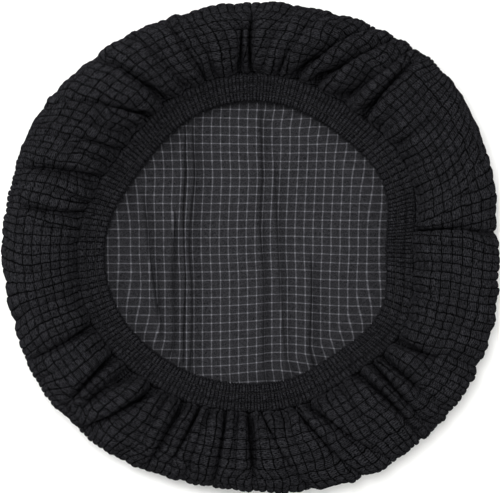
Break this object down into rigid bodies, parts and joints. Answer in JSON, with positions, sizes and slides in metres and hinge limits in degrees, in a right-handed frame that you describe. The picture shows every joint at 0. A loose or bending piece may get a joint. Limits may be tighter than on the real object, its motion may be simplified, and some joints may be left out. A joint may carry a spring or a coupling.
{
  "type": "wheel cover",
  "caption": "Round stretch cloth cover for a small wheel, with a flat face, a puffed checked weave and a gathered elastic mouth at the back.",
  "frame": {"origin": "centre of the outer side of the flat face, which lies on the floor", "axes": "+Z is the wheel's axis, from the flat face out through the elastic mouth; X and Y follow the rows and columns of the flat face's weave"},
  "size_m": [0.38, 0.3798, 0.034],
  "materials": {
    "stretch_jacquard": "matt black stretch polyester knitted in puffed checks, with paler floats on its wrong side",
    "knitted_elastic": "matt black knitted elastic",
    "sewing_thread": "black spun polyester thread"
  },
  "bodies": {
    "cover": {"face_panel": "stretch_jacquard", "side_wall": "stretch_jacquard", "back_skirt": "stretch_jacquard", "face_seam_thread": "sewing_thread"},
    "hem": {"hem_casing": "stretch_jacquard", "elastic_band": "knitted_elastic", "elastic_join_stitches": "sewing_thread", "elastic_topstitch_rows": "sewing_thread", "hem_seam_thread": "sewing_thread", "hem_overlock_thread": "sewing_thread"}
  },
  "joints": [
    {"name": "hem_lift", "type": "slide", "parent": "cover", "child": "hem", "axis": [0, 0, 1], "range_m": [0, 0.045], "deforming": ["back_skirt"]}
  ]
}
